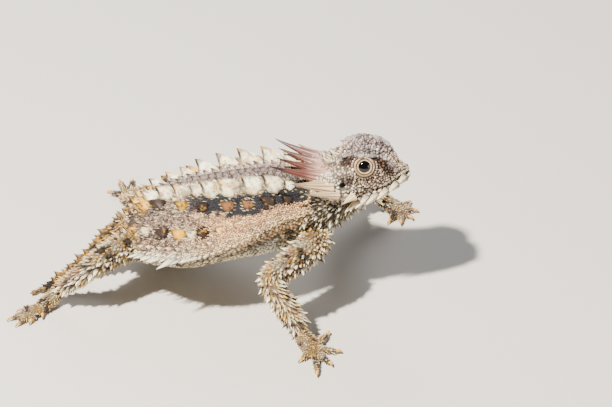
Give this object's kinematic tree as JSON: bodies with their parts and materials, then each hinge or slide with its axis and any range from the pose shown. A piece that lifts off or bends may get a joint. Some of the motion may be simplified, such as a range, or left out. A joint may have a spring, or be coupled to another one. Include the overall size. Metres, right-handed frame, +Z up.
{
  "type": "regal horned lizard",
  "caption": "Still life-size model of a horned lizard standing with its chest raised, with a crown of horns, a fringe of scales along each flank and short spiny tail.",
  "frame": {"origin": "on the ground under the middle of the animal's bounding box", "axes": "+X towards the snout, +Y towards the animal's left, +Z up; feet and tail tip rest at Z = 0"},
  "size_m": [0.1252, 0.1066, 0.0508],
  "materials": {
    "scaled_skin": "dry scales",
    "horn": "satin horn",
    "eye": "wet gloss"
  },
  "bodies": {
    "root": {"eye_left": "eye", "eye_right": "eye", "foreleg_left_foot": "scaled_skin", "foreleg_left_lower": "scaled_skin", "foreleg_left_upper": "scaled_skin", "foreleg_right_foot": "scaled_skin", "foreleg_right_lower": "scaled_skin", "foreleg_right_upper": "scaled_skin", "head": "scaled_skin", "hindleg_left_foot": "scaled_skin", "hindleg_left_lower": "scaled_skin", "hindleg_left_upper": "scaled_skin", "hindleg_right_foot": "scaled_skin", "hindleg_right_lower": "scaled_skin", "hindleg_right_upper": "scaled_skin", "horn_occipital_inner_left": "horn", "horn_occipital_inner_right": "horn", "horn_occipital_outer_left": "horn", "horn_occipital_outer_right": "horn", "horn_temporal_lower_left": "horn", "horn_temporal_lower_right": "horn", "horn_temporal_middle_left": "horn", "horn_temporal_middle_right": "horn", "horn_temporal_upper_left": "horn", "horn_temporal_upper_right": "horn", "neck": "scaled_skin", "tail_root": "scaled_skin", "tail_tip": "scaled_skin", "torso": "scaled_skin"}
  },
  "joints": []
}
